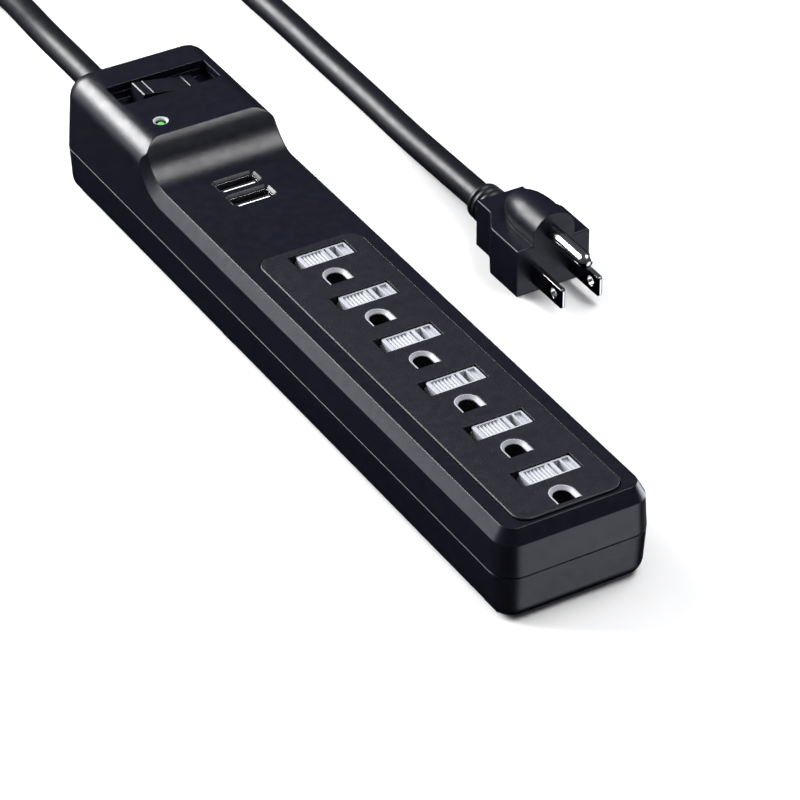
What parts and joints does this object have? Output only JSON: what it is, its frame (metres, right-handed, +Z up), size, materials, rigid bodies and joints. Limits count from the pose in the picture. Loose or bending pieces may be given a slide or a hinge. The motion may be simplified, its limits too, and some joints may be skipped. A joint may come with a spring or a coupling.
{
  "type": "power strip",
  "caption": "Long low power strip: grounded outlets with sliding shutters, USB sockets, a rocker switch and light on a raised end, and a cord with a moulded plug.",
  "frame": {"origin": "on the surface it lies on, under the middle of the housing", "axes": "+X across the strip, +Y along it towards the cord end, +Z up"},
  "size_m": [0.1299, 0.4904, 0.04],
  "materials": {
    "black_cover": "fine satin mould texture",
    "panel_plastic": "grained",
    "shutter_grey": "satin",
    "rocker_plastic": "satin",
    "tray_plastic": "natural",
    "screw_steel": "plated",
    "contact_brass": "rolled",
    "board_green": "solder mask",
    "ferrite": "sintered",
    "winding_tape": "tape",
    "can_sleeve": "sleeve",
    "varistor_blue": "dipped",
    "cap_box": "moulded",
    "fuse_case": "ceramic white",
    "led_green": "clear dome",
    "lead_black": "insulation",
    "lead_white": "insulation",
    "lead_green": "insulation",
    "cord_jacket": "satin vinyl",
    "plug_vinyl": "satin vinyl",
    "plated_blade": "nickel plate",
    "usb_steel": "plated sheet",
    "usb_tongue": "moulded"
  },
  "bodies": {
    "housing": {"top_cover": "black_cover", "bottom_cover": "black_cover", "housing_screws": "screw_steel", "outlet_panel": "panel_plastic", "contact_tray": "tray_plastic", "neutral_bar": "contact_brass", "hot_bar": "contact_brass", "ground_bar": "contact_brass", "usb_board": "board_green", "transformer_core": "ferrite", "transformer_winding": "winding_tape", "filter_capacitors": "can_sleeve", "surge_board": "board_green", "varistors": "varistor_blue", "suppression_capacitor": "cap_box", "thermal_fuse": "fuse_case", "switch_housing": "black_cover", "rocker_pin": "screw_steel", "switch_terminals": "contact_brass", "indicator_led": "led_green", "led_leads": "screw_steel", "hot_lead": "lead_black", "switched_lead": "lead_black", "neutral_lead": "lead_white", "ground_lead": "lead_green", "cord_bushing": "cord_jacket", "cord_to_coil": "cord_jacket", "cord_coil": "cord_jacket", "cord_to_plug": "cord_jacket", "plug_relief": "cord_jacket", "plug_body": "plug_vinyl", "plug_neutral_blade": "plated_blade", "plug_hot_blade": "plated_blade", "plug_ground_pin": "plated_blade", "usb_shell_1": "usb_steel", "usb_tongue_1": "usb_tongue", "usb_shell_2": "usb_steel", "usb_tongue_2": "usb_tongue"},
    "rocker": {"rocker": "rocker_plastic"},
    "shutter_1": {"shutter_1": "shutter_grey"},
    "shutter_2": {"shutter_2": "shutter_grey"},
    "shutter_3": {"shutter_3": "shutter_grey"},
    "shutter_4": {"shutter_4": "shutter_grey"},
    "shutter_5": {"shutter_5": "shutter_grey"},
    "shutter_6": {"shutter_6": "shutter_grey"}
  },
  "joints": [
    {"name": "rocker_hinge", "type": "hinge", "parent": "housing", "child": "rocker", "pos_m": [0, 0.1049, 0.0305], "axis": [0, 1, 0], "range_deg": [-18, 0]},
    {"name": "shutter_1_slide", "type": "slide", "parent": "housing", "child": "shutter_1", "axis": [1, 0, 0], "range_m": [-0.0024, 0]},
    {"name": "shutter_2_slide", "type": "slide", "parent": "housing", "child": "shutter_2", "axis": [1, 0, 0], "range_m": [-0.0024, 0]},
    {"name": "shutter_3_slide", "type": "slide", "parent": "housing", "child": "shutter_3", "axis": [1, 0, 0], "range_m": [-0.0024, 0]},
    {"name": "shutter_4_slide", "type": "slide", "parent": "housing", "child": "shutter_4", "axis": [1, 0, 0], "range_m": [-0.0024, 0]},
    {"name": "shutter_5_slide", "type": "slide", "parent": "housing", "child": "shutter_5", "axis": [1, 0, 0], "range_m": [-0.0024, 0]},
    {"name": "shutter_6_slide", "type": "slide", "parent": "housing", "child": "shutter_6", "axis": [1, 0, 0], "range_m": [-0.0024, 0]}
  ]
}
